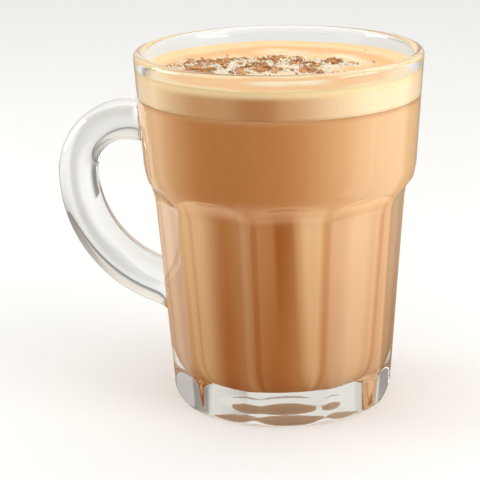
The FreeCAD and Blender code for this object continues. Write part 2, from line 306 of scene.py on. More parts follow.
# %% The handle's line and section
ARM_Z = RIM_Z - 23.3
BEND_X = -(RIM_R + 4.3)
BEND_R = 17.6
SWEEP_R = 34.5
SWEEP_TURN = 72.0
ARM_START_X = -45.3
TAIL = 3.2
HANDLE_WIDTH = 13.4
ARM_THICK, GRIP_THICK, ROOT_THICK = 12.4, 11.2, 14.0
OBLONG = 2.57
ARM_RINGS, BEND_RINGS, SWEEP_RINGS, TAIL_RINGS = 2, 34, 52, 4


def handle_line():
    """Places, headings and distances along the handle: a run, a quarter circle, an arc, a run. On an arc
    the heading grows evenly, and the place is the centre plus the radius times a turned heading."""
    arm = run((ARM_START_X, ARM_Z), (BEND_X, ARM_Z), ARM_RINGS)
    turn = np.radians(np.arange(BEND_RINGS) / BEND_RINGS * 90)
    bend = np.column_stack([BEND_X - BEND_R * np.sin(turn), ARM_Z - BEND_R * (1 - np.cos(turn))])
    sweep_turn = np.radians(np.arange(SWEEP_RINGS) / SWEEP_RINGS * SWEEP_TURN)
    grip = np.array([BEND_X - BEND_R, ARM_Z - BEND_R])
    sweep = grip + SWEEP_R * np.column_stack([1 - np.cos(sweep_turn), -np.sin(sweep_turn)])
    last = math.radians(SWEEP_TURN)
    end = grip + SWEEP_R * np.array([1 - math.cos(last), -math.sin(last)])
    way = np.array([math.sin(last), -math.cos(last)])
    tail = end + way * np.linspace(0, TAIL, TAIL_RINGS)[:, None]
    heading = np.concatenate([np.full(ARM_RINGS, math.pi), math.pi + turn, 1.5 * math.pi + sweep_turn,
                              np.full(TAIL_RINGS, 1.5 * math.pi + last)])
    place = np.vstack([arm, bend, sweep, tail])
    travelled = np.concatenate([[0], np.cumsum(np.linalg.norm(np.diff(place, axis=0), axis=1))])
    return place, heading, travelled


def oblong(angle, half_width, half_thick):
    """A soft-cornered oblong's radius in a direction: (|cos|/width)^p plus (|sin|/thickness)^p, to the power
    of minus one over p. A p of 2 is an ellipse, and a larger one has squarer corners."""
    across, up = np.abs(np.cos(angle)) / half_width, np.abs(np.sin(angle)) / half_thick
    return (across**OBLONG + up**OBLONG) ** (-1 / OBLONG)


place, heading, travelled = handle_line()
print("handle line, mm", round(travelled[-1], 1), "rings", len(place))

# %% [markdown]
# The windows' edges are lists of grid points that go round the root the same way as the tube's rings. Both
# edges have the same number of points, so one set of rings joins them.

# %% The two windows and their edges
HANDLE_COLUMN = FACET_COLUMNS * (FACETS // 2) + FACET_COLUMNS // 2
TOP_COLUMNS, LOW_COLUMNS = 12, 13


def window(row, rows, half_columns, upwards):
    """The grid points round a window, as rows and columns, starting in the middle of the +Y side."""
    left, right = HANDLE_COLUMN - half_columns, HANDLE_COLUMN + half_columns
    near, far = (row, row + rows) if not upwards else (row + rows, row)
    middle, way = row + rows // 2, 1 if upwards else -1
    across = np.arange(left, right)
    stretches = [
        (np.arange(middle, near, way), left),
        (near, across),
        (np.arange(near, far, -way), right),
        (far, across[::-1] + 1),
        (np.arange(far, middle, way), left),
    ]
    pairs = [np.broadcast_arrays(row_part, column_part) for row_part, column_part in stretches]
    return tuple(np.concatenate(part) for part in zip(*pairs))


top_edge = window(first_row["top root"], TOP_ROWS, TOP_COLUMNS, True)
low_edge = window(first_row["low root"], LOW_ROWS, LOW_COLUMNS, False)
print("edge points", len(top_edge[0]), len(low_edge[0]))

# %% Rings of the tube and of the two fillets
FILLET_RINGS = 9
FILLET_PULL = 0.74
LOW_ROOT_DROP = 1.2
EVENED = 6

count = len(theta)
grid = turned_points(radius, theta, up)


def ring_angles(edge, centre_z, sign):
    """The direction of each edge point as seen along the handle, unwrapped so that it only grows."""
    points = grid[edge]
    return np.unwrap(np.arctan2(sign * (points[:, 2] - centre_z), points[:, 1]))


def curve_between(body, tube, meet):
    """Cubic Bezier rings from body points to tube points, whose handles reach most of the way to where
    the tube would meet the body."""
    share = (np.arange(FILLET_RINGS) + 1)[:, None, None] / (FILLET_RINGS + 1)
    first, second = body + (meet - body) * FILLET_PULL, tube + (meet - tube) * FILLET_PULL
    return ((1 - share) ** 3 * body + 3 * (1 - share) ** 2 * share * first
            + 3 * (1 - share) * share**2 * second + share**3 * tube)


share = travelled / travelled[-1]
grip_share = share[ARM_RINGS + BEND_RINGS]
thick = np.interp(share, [0, grip_share, 1], [ARM_THICK, GRIP_THICK, ROOT_THICK])
span = 2 * EVENED + 1
thick = np.convolve(np.pad(thick, EVENED, mode="edge"), np.ones(span) / span, mode="valid")
angles_top = ring_angles(top_edge, ARM_Z, 1)
angles_low = ring_angles(low_edge, place[-1][1] - LOW_ROOT_DROP, -1)
angles = angles_top[None, :] * (1 - share[:, None]) + angles_low[None, :] * share[:, None]
reach = oblong(angles, HANDLE_WIDTH / 2, thick[:, None] / 2)
outward = np.column_stack([np.sin(heading), np.zeros(len(heading)), -np.cos(heading)])
centre = np.column_stack([place[:, 0], np.zeros(len(place)), place[:, 1]])
tube = (centre[:, None, :] + outward[:, None, :] * (reach * np.sin(angles))[:, :, None]
        + np.array([0, 1, 0]) * (reach * np.cos(angles))[:, :, None])

meet_top = tube[0].copy()
meet_top[:, 0] = -np.sqrt(band_radius(meet_top[:, 2]) ** 2 - meet_top[:, 1] ** 2)
inward = np.array([math.cos(heading[-1]), 0, math.sin(heading[-1])])
gap = -FACET_FOOT - FACET_SLOPE * tube[-1][:, 2] - tube[-1][:, 0]
travel = gap / (inward[0] + FACET_SLOPE * inward[2])
meet_low = tube[-1] + inward * travel[:, None]
rings = np.concatenate([
    curve_between(grid[top_edge], tube[0], meet_top), tube,
    curve_between(grid[low_edge], tube[-1], meet_low)[::-1],
])
print("handle rings", rings.shape, "lower root travel, mm", np.round([travel.min(), travel.max()], 1))

# %% [markdown]
# ## From grids to one closed mesh
#
# The body's grid wraps round in one direction and is closed by a point at each end. Faces inside the two
# windows are left out, and the handle's rings take their place. The result is one watertight skin, which
# is what a renderer needs to know where glass starts and ends.

# %% Faces, mesh and a check of the volume
def wrap_quads(rows, columns, start=0):
    """Quads between neighbouring rows of a grid that wraps round."""
    row, column = np.meshgrid(np.arange(rows - 1), np.arange(columns), indexing="ij")
    on = (column + 1) % columns
    return start + np.stack([
        row * columns + column, row * columns + on, (row + 1) * columns + on, (row + 1) * columns + column,
    ], axis=-1).reshape(-1, 4)


def fan(row_start, columns, pole):
    """Triangles from one row of a wrapping grid to a pole."""
    column = np.arange(columns)
    return np.stack([row_start + column, row_start + (column + 1) % columns, np.full(columns, pole)], axis=-1)


def end_caps(rows, columns):
    """Triangles that close a wrapping grid whose two poles are the points right after it."""
    first = fan(0, columns, rows * columns)
    return np.vstack([first, fan((rows - 1) * columns, columns, rows * columns + 1)])


def shown(name, data):
    """A new object for a mesh, a lamp or a camera, put into the scene."""
    piece = bpy.data.objects.new(name, data)
    bpy.context.collection.objects.link(piece)
    return piece


def put_mesh(name, points, quads, triangles):
    """A smooth mesh object from points in millimetres. Faces are turned outwards and unused points go."""
    used = np.unique(np.concatenate([quads.ravel(), triangles.ravel()]))
    place_of = np.zeros(len(points), dtype=int)
    place_of[used] = np.arange(len(used))
    faces = place_of[quads].tolist() + place_of[triangles].tolist()
    mesh = bpy.data.meshes.new(name)
    mesh.from_pydata((points[used] * MM).tolist(), [], faces)
    work = bmesh.new()
    work.from_mesh(mesh)
    bmesh.ops.recalc_face_normals(work, faces=work.faces)
    open_edges = sum(1 for edge in work.edges if len(edge.link_faces) != 2)
    volume = work.calc_volume(signed=True) / MM**3 / 1000
    work.to_mesh(mesh)
    work.free()
    mesh.shade_smooth()
    piece = shown(name, mesh)
    triangle_count = sum(len(face.vertices) - 2 for face in mesh.polygons)
    print(name, f"{volume:.1f} cm3, {triangle_count} triangles, {open_edges} open edges")
    return piece


def glass_mesh():
    """The whole mug: grid, poles, windows left out, and the handle's rings joined to the windows' edges."""
    rows = len(height)
    quads = wrap_quads(rows, count).reshape(rows - 1, count, 4)
    keep = np.ones((rows - 1, count), dtype=bool)
    for name, window_rows, half in (("top root", TOP_ROWS, TOP_COLUMNS), ("low root", LOW_ROWS, LOW_COLUMNS)):
        row = first_row[name]
        keep[row:row + window_rows, HANDLE_COLUMN - half:HANDLE_COLUMN + half] = False
    poles = np.array([[0, 0, DIMPLE_DEPTH], [0, 0, FLOOR_Z]])
    points = np.vstack([grid.reshape(-1, 3), poles, rings.reshape(-1, 3)])
    ring_start, ring_size = rows * count + 2, rings.shape[1]
    loops = np.vstack([
        top_edge[0] * count + top_edge[1],
        ring_start + np.arange(rings.shape[0] * ring_size).reshape(-1, ring_size),
        low_edge[0] * count + low_edge[1],
    ])
    on = np.roll(loops, -1, axis=1)
    handle = np.stack([loops[:-1], on[:-1], on[1:], loops[1:]], axis=-1).reshape(-1, 4)
    return put_mesh("glass_mug_clear", points, np.vstack([quads[keep], handle]), end_caps(rows, count))


glass = glass_mesh()
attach(glass, "root")
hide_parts("glass_mug")

# %% [markdown]
# ## The tea
#
# The tea fills the hollow up to the foam. Its skin reaches a hair into the glass on every side.

# %% Tea in the hollow
INTO_WALL = 0.12
AROUND = 180


def turned(name, profile, around, ends):
    """A closed solid of revolution: the profile's radius times the cosine and sine of the direction, with a
    pole at each end."""
    points = turned_points(profile[:, :1], all_round(around), profile[:, 1:]).reshape(-1, 3)
    points = np.vstack([points, [[0, 0, ends[0]], [0, 0, ends[1]]]])
    return put_mesh(name, points, wrap_quads(len(profile), around), end_caps(len(profile), around))


tea_side = hollow_profile(INTO_WALL, TEA_Z, 1.2)
tea_top = run((POLE_RING, TEA_Z), tea_side[0], 5)
tea = turned("tea", np.vstack([tea_top, tea_side]), AROUND, (TEA_Z, FLOOR_Z - INTO_WALL))
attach(tea, "root")
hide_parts("chai")

# %% [markdown]
# ## Where the froth and the spice lie
#
# The sprinkle is a loose oval patch across the middle of the foam, wide from left to right and short from
# front to back, with a ragged edge. One function gives its strength at any point, and the foam's relief,
# its colour, the bubbles and the spice all ask that function, so they agree. Random hills make its edge
# ragged: heights on a square lattice, blended smoothly in between.

# %% Random hills and the sprinkled patch
VIEW_TURN = math.radians(14.7)
PATCH_MIDDLE = (-5.0, 1.0)
PATCH_SIZE = (31.0, 15.0)


def hills(x, y, size, seed):
    """Smooth random heights from -1 to 1: lattice values blended by 3t squared minus 2t cubed."""
    lattice = np.random.default_rng(seed).uniform(-1, 1, (64, 64))
    u, v = x / size + 32, y / size + 32
    i, j = np.floor(u).astype(int), np.floor(v).astype(int)
    s, t = u - i, v - j
    s, t = s * s * (3 - 2 * s), t * t * (3 - 2 * t)
    i, j, k, m = i % 64, j % 64, (i + 1) % 64, (j + 1) % 64
    low = lattice[i, j] * (1 - s) + lattice[k, j] * s
    high = lattice[i, m] * (1 - s) + lattice[k, m] * s
    return low * (1 - t) + high * t


def across_and_away(x, y):
    """Places on the foam measured across the drinker's view and away from them: x and y turned back by
    the view's angle."""
    cos, sin = math.cos(VIEW_TURN), math.sin(VIEW_TURN)
    return x * cos + y * sin, y * cos - x * sin


def sprinkled(x, y):
    """How much lies here, 0 to 1: one minus the oval's squared distance, made ragged by hills."""
    u, v = across_and_away(x, y)
    far = ((u - PATCH_MIDDLE[0]) / PATCH_SIZE[0]) ** 2 + ((v - PATCH_MIDDLE[1]) / PATCH_SIZE[1]) ** 2
    ragged = 0.35 * hills(x, y, 7.0, 4) + 0.25 * hills(x, y, 3.0, 5)
    return np.clip((1 - far + ragged) * 1.8, 0, 1)


print("sprinkled in the middle and at the edge", sprinkled(np.array([-5.0, 35.0]), np.array([0.0, 0.0])))

# %% [markdown]
# ## The foam
#
# Foam creeps up the glass at its edge, and its top is never flat: broad swells, small lumps and a raised
# froth where the sprinkle lies. The top is a polar grid whose height adds those up. Its side goes down to
# the tea.

# %% Foam with its relief
FOAM_AROUND = 320
FOAM_RINGS = 110
CREEP = 0.9
CREEP_WIDTH = 1.3
FOAM_SINK = 0.45
FROTH_RISE = 0.5
FROTH_DEPTH = 2


def wall_radius(z):
    """The hollow's radius in the band at a height, reaching just into the glass: the rim's less the taper
    times how far below the rim."""
    taper = (inner_edge[0] - inner_band[0]) / (RIM_Z - BAND_Z)
    return inner_edge[0] - taper * (RIM_Z - z) + INTO_WALL


def foam_height(x, y):
    """The foam's top: its level, the creep at the glass, swells, lumps and the froth's mounds."""
    edge = wall_radius(FOAM_Z) - np.hypot(x, y)
    froth = sprinkled(x, y) * np.clip(0.35 + 0.65 * hills(x, y, 2.6, 11), 0, 1)
    swells = 0.18 * hills(x, y, 13.0, 1) + 0.10 * hills(x, y, 5.0, 2) + 0.035 * hills(x, y, 1.5, 3)
    return FOAM_Z - FOAM_SINK + CREEP * np.exp(-edge / CREEP_WIDTH) + swells + FROTH_RISE * froth


def foam_mesh():
    """The foam: rings of the top from the middle to the wall, then the side down to the tea."""
    angle = all_round(FOAM_AROUND)
    share = (np.arange(FOAM_RINGS) + 1) / FOAM_RINGS
    reach = wall_radius(FOAM_Z) * (1 - (1 - share) ** 1.15)
    x, y = reach[:, None] * np.cos(angle), reach[:, None] * np.sin(angle)
    top = np.stack([x, y, foam_height(x, y)], axis=-1)
    edge_z = top[-1, :, 2]
    drop = np.linspace(0, 1, 9)[1:, None]
    z = edge_z[None, :] * (1 - drop) + TEA_Z * drop
    points = np.concatenate([top, turned_points(wall_radius(z), angle, z)]).reshape(-1, 3)
    rows = len(points) // FOAM_AROUND
    middle_z = float(foam_height(np.zeros(1), np.zeros(1))[0])
    points = np.vstack([points, [[0, 0, middle_z], [0, 0, TEA_Z]]])
    return put_mesh("foam_layer", points, wrap_quads(rows, FOAM_AROUND), end_caps(rows, FOAM_AROUND))


foam = foam_mesh()
at = np.empty(len(foam.data.vertices) * 3)
foam.data.vertices.foreach_get("co", at)
at = at.reshape(-1, 3) / MM
froth_mask = foam.data.attributes.new("froth", "FLOAT", "POINT")
froth_mask.data.foreach_set("value", sprinkled(at[:, 0], at[:, 1]) * (at[:, 2] > FOAM_Z - FROTH_DEPTH))
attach(foam, "root")
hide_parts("foam")

# %% [markdown]
# ## Froth bubbles
#
# The froth is a crowd of bubbles from a third of a millimetre to a little over a millimetre across, half
# sunk in the foam. Each is a low dome of a few dozen faces, and all of them are one mesh: the same dome's
# points times each bubble's size, plus its place. Geometry nodes could scatter them too, but arrays keep
# every bubble in reach of the function that says where froth lies.

# %% A crowd of bubbles
SPREAD = 38
BUBBLE_TRIES, BUBBLE_LEAST, BUBBLE_GROWTH, BUBBLE_RISE = 15000, 0.18, 0.42, 0.15
DOME_LEVELS, DOME_AROUND = [-50, -15, 20, 52], 8


def scatter(number, seed, density):
    """Random places on the foam, kept with the chance that a density function gives."""
    dice = np.random.default_rng(seed)
    x, y = dice.uniform(-SPREAD, SPREAD, (2, number))
    keep = (dice.uniform(0, 1, number) < density(x, y)) & (np.hypot(x, y) < wall_radius(FOAM_Z) - 2)
    return x[keep], y[keep], dice


def joined(name, shape, faces, places, frames, sizes):
    """One mesh of many copies: each shape point times the copy's size, turned by its frame, moved to its
    place."""
    points = np.einsum("nij,nkj->nki", frames, shape * sizes[:, None, :]) + places[:, None, :]
    copies, corners = points.shape[:2]
    start = (np.arange(copies) * corners)[:, None, None]
    quads = (faces[0][None] + start).reshape(-1, 4)
    triangles = (faces[1][None] + start).reshape(-1, 3)
    return put_mesh(name, points.reshape(-1, 3), quads, triangles)


def bubble_density(x, y):
    """Bubbles crowd in the froth's mounds."""
    return sprinkled(x, y) * np.clip(0.55 + 0.9 * hills(x, y, 2.6, 11), 0, 1)


level = np.radians(DOME_LEVELS)[:, None]
dome = turned_points(np.cos(level), all_round(DOME_AROUND), np.sin(level)).reshape(-1, 3)
dome = np.concatenate([dome, [[0, 0, -1], [0, 0, 1]]])
dome_faces = (wrap_quads(len(level), DOME_AROUND), end_caps(len(level), DOME_AROUND))
bx, by, dice = scatter(BUBBLE_TRIES, 21, bubble_density)
bubble_size = BUBBLE_LEAST + BUBBLE_GROWTH * dice.uniform(0, 1, len(bx)) ** 3
places = np.column_stack([bx, by, foam_height(bx, by) + bubble_size * BUBBLE_RISE])
upright = np.repeat(np.eye(3)[None], len(bx), 0)
bubbles = joined("froth_bubbles", dome, dome_faces, places, upright, np.repeat(bubble_size[:, None], 3, 1))
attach(bubbles, "root")
print("bubbles", len(bx))

# %% [markdown]
# ## Ground spice
#
# Ground cinnamon and nutmeg fall as flat, broken chips. A chip is a thin six-cornered plate whose corners
# are pushed in and out, tipped at random and laid on the froth. They gather in loose clumps, so their
# density is the patch times hills of its own, and four chips lie alone outside it. A number on each chip
# says how light it is.

# %% Chips of spice
CHIP_CORNERS = 6
CHIP_TRIES, CHIP_LEAST, CHIP_GROWTH, CHIP_TIP = 13000, 0.28, 1.3, 0.7


def chip_shapes(number, dice):
    """Broken plates: six corners at uneven radii, above and below a thin middle."""
    corners = (number, CHIP_CORNERS)
    angle = all_round(CHIP_CORNERS) + dice.uniform(-0.3, 0.3, corners)
    reach = dice.uniform(0.55, 1.15, corners)
    flat = np.stack([reach * np.cos(angle), reach * np.sin(angle)], axis=-1)
    thick = dice.uniform(0.6, 1.4, (number, CHIP_CORNERS, 1)) * 0.5
    upper = np.concatenate([flat * 0.82, thick], axis=-1)
    lower = np.concatenate([flat, -thick], axis=-1)
    middles = np.tile([[0, 0, 0.62], [0, 0, -0.62]], (number, 1, 1))
    return np.concatenate([upper, lower, middles], axis=1)


def tipped(number, dice, most):
    """Turning matrices: a spin about the upright, then a tip about a level line by up to `most` radians."""
    spin, tip = dice.uniform(0, 2 * math.pi, number), dice.normal(0, most / 2, number)
    one, nought = np.ones(number), np.zeros(number)
    cos_spin, sin_spin, cos_tip, sin_tip = np.cos(spin), np.sin(spin), np.cos(tip), np.sin(tip)
    about_z = [[cos_spin, -sin_spin, nought], [sin_spin, cos_spin, nought], [nought, nought, one]]
    about_x = [[one, nought, nought], [nought, cos_tip, -sin_tip], [nought, sin_tip, cos_tip]]
    return np.einsum("ijn,jkn->nik", np.array(about_x), np.array(about_z))


def spice_density(x, y):
    """Spice gathers in clumps within the patch, with a thin dust between them."""
    clumps = np.clip(3.4 * hills(x, y, 4.6, 31) + 1.5 * hills(x, y, 1.9, 32) - 0.40, 0, 1)
    return sprinkled(x, y) * (0.05 + 0.95 * clumps)


chip_faces = (wrap_quads(2, CHIP_CORNERS), end_caps(2, CHIP_CORNERS))
sx, sy, dice = scatter(CHIP_TRIES, 8, spice_density)
lone = np.array([[20.0, 30.0], [-20.0, 14.0], [14.0, -12.0], [-2.0, 17.0]])
sx, sy = np.concatenate([sx, lone[:, 0]]), np.concatenate([sy, lone[:, 1]])
chips = chip_shapes(len(sx), dice)
chip_size = CHIP_LEAST + CHIP_GROWTH * dice.uniform(0, 1, len(sx)) ** 2.6
sizes = np.column_stack([chip_size, chip_size * dice.uniform(0.5, 1, len(sx)), 0.12 + 0.25 * chip_size])
places = np.column_stack([sx, sy, foam_height(sx, sy) + 0.18 + 0.12 * chip_size])
spice = joined("ground_spice", chips, chip_faces, places, tipped(len(sx), dice, CHIP_TIP), sizes)
spice.data.shade_flat()
tone = spice.data.attributes.new("tone", "FLOAT", "POINT")
chip_tone = np.clip(0.5 + 0.5 * hills(sx, sy, 2.2, 33) + dice.normal(0, 0.28, len(sx)), 0, 1)
tone.data.foreach_set("value", np.repeat(chip_tone, chips.shape[1]))
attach(spice, "root")
print("chips", len(sx))

# %% [markdown]
# ## Finishes
#
# All the finishes share one effect, a soft cloudy variation, so it is a node group with its own inputs: the
# glass's ripples, the tea's slow swirls, the foam's cream and orange patches and the spice's dust use it at
# their own scale. A few small helpers add the nodes, so that each finish reads as its own recipe.

# %% Colours
def tint(red, green, blue):
    """A colour given as it appears on screen, 0 to 255, turned into linear light."""
    share = np.array([red, green, blue]) / 255
    linear = np.where(share <= 0.04045, share / 12.92, ((share + 0.055) / 1.055) ** 2.4)
    return (*[float(v) for v in linear], 1.0)


print("mid grey in linear light", round(tint(128, 128, 128)[0], 3))

# %% The shared variation, and small helpers that add its nodes
def wire(tree, node, inputs):
    """Fill a node's inputs, given by name or number: another node's output is linked, a plain value is set
    on the input itself."""
    for name, value in inputs.items():
        if isinstance(value, bpy.types.NodeSocket):
            tree.links.new(value, node.inputs[name])
        else:
            node.inputs[name].default_value = value
    return node


def add(tree, kind, inputs):
    """A new node of a kind, with its inputs filled."""
    return wire(tree, tree.nodes.new(kind), inputs)


def maths(tree, operation, first, second=None, third=None, clamp=False):
    """One step of arithmetic on other nodes' outputs or plain numbers."""
    step = tree.nodes.new("ShaderNodeMath")
    step.operation = operation
    step.use_clamp = clamp
    given = {place: value for place, value in enumerate((first, second, third)) if value is not None}
    return wire(tree, step, given).outputs["Value"]


def times(tree, first, second, plus=0.0, clamp=False):
    """The first times the second, plus a third."""
    return maths(tree, "MULTIPLY_ADD", first, second, plus, clamp)


def cloud_group():
    """Noise in object space, its contrast stretched about the middle: 0.5 plus (noise - 0.5) times
    contrast."""
    group = bpy.data.node_groups.new("soft_clouds", "ShaderNodeTree")
    for name, kind in (("Scale", "Float"), ("Stretch", "Vector"), ("Contrast", "Float")):
        group.interface.new_socket(name, in_out="INPUT", socket_type="NodeSocket" + kind)
    group.interface.new_socket("Mask", in_out="OUTPUT", socket_type="NodeSocketFloat")
    given = group.nodes.new("NodeGroupInput").outputs
    where = group.nodes.new("ShaderNodeTexCoord").outputs["Object"]
    mapping = add(group, "ShaderNodeMapping", {"Vector": where, "Scale": given["Stretch"]})
    inputs = {"Vector": mapping.outputs["Vector"], "Scale": given["Scale"], "Detail": 4}
    noise = add(group, "ShaderNodeTexNoise", inputs)
    centred = maths(group, "SUBTRACT", noise.outputs["Fac"], 0.5)
    add(group, "NodeGroupOutput", {"Mask": times(group, centred, given["Contrast"], 0.5, clamp=True)})
    return group


clouds = cloud_group()


def cloud(tree, scale, stretch, contrast):
    """The shared variation, placed in a material with its own values. Returns its mask."""
    node = tree.nodes.new("ShaderNodeGroup")
    node.node_tree = clouds
    return wire(tree, node, {"Scale": scale, "Stretch": stretch, "Contrast": contrast}).outputs["Mask"]


print("shared group", clouds.name)

# %% [markdown]
# ### Clear glass
#
# Glass is a smooth dielectric that bends light by 1.5. The real one also focuses lamps through itself,
# which is slow to trace, so rays that look for a lamp, and soft light that has already bounced, pass
# straight through instead. What the eye sees directly is still bent.

# %% Glass
GLASS_TINT = (0.945, 0.95, 0.945, 1)
PASSING_TINT = (0.94, 0.95, 0.94, 1)


def emptied(owner):
    """The node tree of a material or a world, with its nodes taken out."""
    owner.use_nodes = True
    owner.node_tree.nodes.clear()
    return owner.node_tree


def dress(piece, name, recipe, *given):
    """Give a piece a new material, whose nodes a recipe writes."""
    material = bpy.data.materials.new(name)
    recipe(emptied(material), *given)
    piece.data.materials.append(material)
    print("finish", name, "nodes", len(material.node_tree.nodes))


def glass_finish(tree):
    """Clear pressed glass, with faint ripples that bend reflections a little."""
    ripples = cloud(tree, 90.0, (1, 1, 0.4), 1.0)
    bump = add(tree, "ShaderNodeBump", {"Strength": 0.03, "Distance": 0.001, "Height": ripples})
    shader = add(tree, "ShaderNodeBsdfPrincipled", {
        "Base Color": GLASS_TINT, "Transmission Weight": 1.0, "Roughness": 0.0, "IOR": 1.5,
        "Normal": bump.outputs["Normal"],
    })
    path = tree.nodes.new("ShaderNodeLightPath")
    clear = add(tree, "ShaderNodeBsdfTransparent", {"Color": PASSING_TINT})
    surface = shader.outputs["BSDF"]
    for kind in ("Is Shadow Ray", "Is Diffuse Ray"):
        inputs = {"Fac": path.outputs[kind], 1: surface, 2: clear.outputs["BSDF"]}
        surface = add(tree, "ShaderNodeMixShader", inputs).outputs["Shader"]
    add(tree, "ShaderNodeOutputMaterial", {"Surface": surface})


dress(glass, "clear_glass", glass_finish)

# %% [markdown]
# ### Milky tea
#
# Tea with milk is paler at both sides, in painted light where the side lamps would light it, and paler under
# the foam. Below the shoulder it carries painted light and shade for what the facets do to light: soft
# upright painted caustic streaks, a painted shade line and a painted light line at each ridge, and one
# painted shade stripe near the middle. It is darker towards the bottom, and its underside is paler in painted
# light. Where it touches glass there's no gloss of its own.

# %% The tea's colours and where they go
TEA_DARK = tint(172, 101, 48)
TEA_MIDDLE = tint(192, 126, 72)
# Painted light: the tea's colours where the side lamps would light it, high and low.
TEA_PAINTED_LIT = tint(236, 190, 142)
TEA_PAINTED_LIT_LOW = tint(208, 160, 112)
TEA_PALE = tint(206, 150, 100)
# Painted light: the paler underside, standing for light that comes through the glass floor.
TEA_UNDER_PAINTED_LIGHT = tint(234, 196, 166)
# Painted shade: the colour of a dark upright stripe near the middle.
TEA_PAINTED_SHADE = tint(166, 92, 40)
# Darker towards the bottom: the tea goes from its dark colour at the first height to its middle colour at the
# second.
DARK_TO_MIDDLE_RISE = (10, 88)
# Painted caustic streaks below the shoulder, and painted shade and painted light lines at the ridges.
PAINTED_STREAKS, STREAK_START = 12.0, 0.38
STREAK_GAIN, LIT_STREAK_GAIN = 0.26, 0.22
# Painted light at the sides of the band and lower down: its strength and where it starts and is full.
SIDE_GLOW, LOW_SIDE_GLOW = 0.88, 0.60
LIT_FROM_RIGHT, LIT_FROM_LEFT = (0.2, 0.9), (-0.3, -0.8)
LOW_LIT_FROM_RIGHT, LOW_LIT_FROM_LEFT = (0.30, 0.42), (-0.19, -0.45)
# Where the painted shade stripe lies: across, from one side to the other, and its heights.
SHADE_STRIPE_LEFT, SHADE_STRIPE_RIGHT, SHADE_STRIPE_RISE = (5.5, 7.5), (12.8, 11.0), (5, 50)
CREST = 0.95
RIDGE_SHADE, RIDGE_LIGHT = 0.34, 0.20
SHADE_ASIDE, LIGHT_ASIDE = 1.0, -3.0
print("ridges", FACETS, "streaks", PAINTED_STREAKS, "darkest tea in linear light", np.round(TEA_DARK[:3], 3))

# %% Painted light and shade in the drink
def place_on_piece(tree):
    """Object coordinates, whole and as X, Y and Z."""
    where = tree.nodes.new("ShaderNodeTexCoord").outputs["Object"]
    parts = add(tree, "ShaderNodeSeparateXYZ", {"Vector": where}).outputs
    return where, parts["X"], parts["Y"], parts["Z"]


def between(tree, value, low, high):
    """A smooth ramp from 0 to 1 as a value goes from low to high, in millimetres."""
    ramp = tree.nodes.new("ShaderNodeMapRange")
    ramp.interpolation_type = "SMOOTHSTEP"
    return wire(tree, ramp, {"Value": value, "From Min": low * MM, "From Max": high * MM}).outputs["Result"]


def painted_side_light(tree, x, radius, right, left):
    """Painted light from the two sides: 1 at the far right and left, 0 between, with soft steps at
    the given shares of a radius."""
    on_right = between(tree, x, right[0] * radius, right[1] * radius)
    on_left = between(tree, x, left[0] * radius, left[1] * radius)
    return maths(tree, "MAXIMUM", on_right, on_left)


def painted_ridge_lines(tree, direction_round, aside):
    """Thin upright lines of painted shade or painted light at the ridges between facets, or some degrees
    aside of them: the crests of the cosine of the facet count times the direction."""
    phase = math.pi - FACETS * math.radians(aside)
    wave = maths(tree, "COSINE", times(tree, direction_round, FACETS, phase))
    return times(tree, wave, 1 / (1 - CREST), -CREST / (1 - CREST), clamp=True)


def painted_light_in_tea(tree, x, y, lower):
    """How much painted light the tea gets, 0 to 1: at the sides of the band, and lower down at the sides, in
    soft painted caustic streaks, with a painted shade line and a painted light line at each ridge. A streak
    is half plus half the cosine of a number of times the direction, pushed about by clouds."""
    direction_round = maths(tree, "ARCTAN2", y, x)
    push = times(tree, cloud(tree, 30.0, (1, 1, 0.3), 2.5), 1.2, STREAK_START - 0.6)
    turn = times(tree, direction_round, PAINTED_STREAKS, push)
    streak = times(tree, maths(tree, "COSINE", turn), 0.5, 0.5)
    sides = painted_side_light(tree, x, BAND_R, LIT_FROM_RIGHT, LIT_FROM_LEFT)
    painted_low_sides = painted_side_light(tree, x, WAIST_R, LOW_LIT_FROM_RIGHT, LOW_LIT_FROM_LEFT)
    gain = times(tree, painted_low_sides, LIT_STREAK_GAIN, STREAK_GAIN)
    streaked = times(tree, streak, gain, times(tree, painted_low_sides, LOW_SIDE_GLOW))
    # A painted shade line at each ridge, then a painted light line beside it.
    shaded = times(tree, painted_ridge_lines(tree, direction_round, SHADE_ASIDE), -RIDGE_SHADE, streaked)
    below = times(tree, painted_ridge_lines(tree, direction_round, LIGHT_ASIDE), RIDGE_LIGHT, shaded)
    above = times(tree, sides, SIDE_GLOW)
    return times(tree, maths(tree, "SUBTRACT", below, above), lower, above, clamp=True)

# %% The tea's finish
def blend_colours(tree, mask, first, second):
    """A colour that goes from the first to the second as the mask goes from 0 to 1."""
    mix = tree.nodes.new("ShaderNodeMix")
    mix.data_type = "RGBA"
    return wire(tree, mix, {"Factor": mask, 6: first, 7: second}).outputs[2]


def finish(tree, inputs):
    """One Principled shader, its inputs filled by name, on the output."""
    shader = add(tree, "ShaderNodeBsdfPrincipled", inputs)
    add(tree, "ShaderNodeOutputMaterial", {"Surface": shader.outputs["BSDF"]})


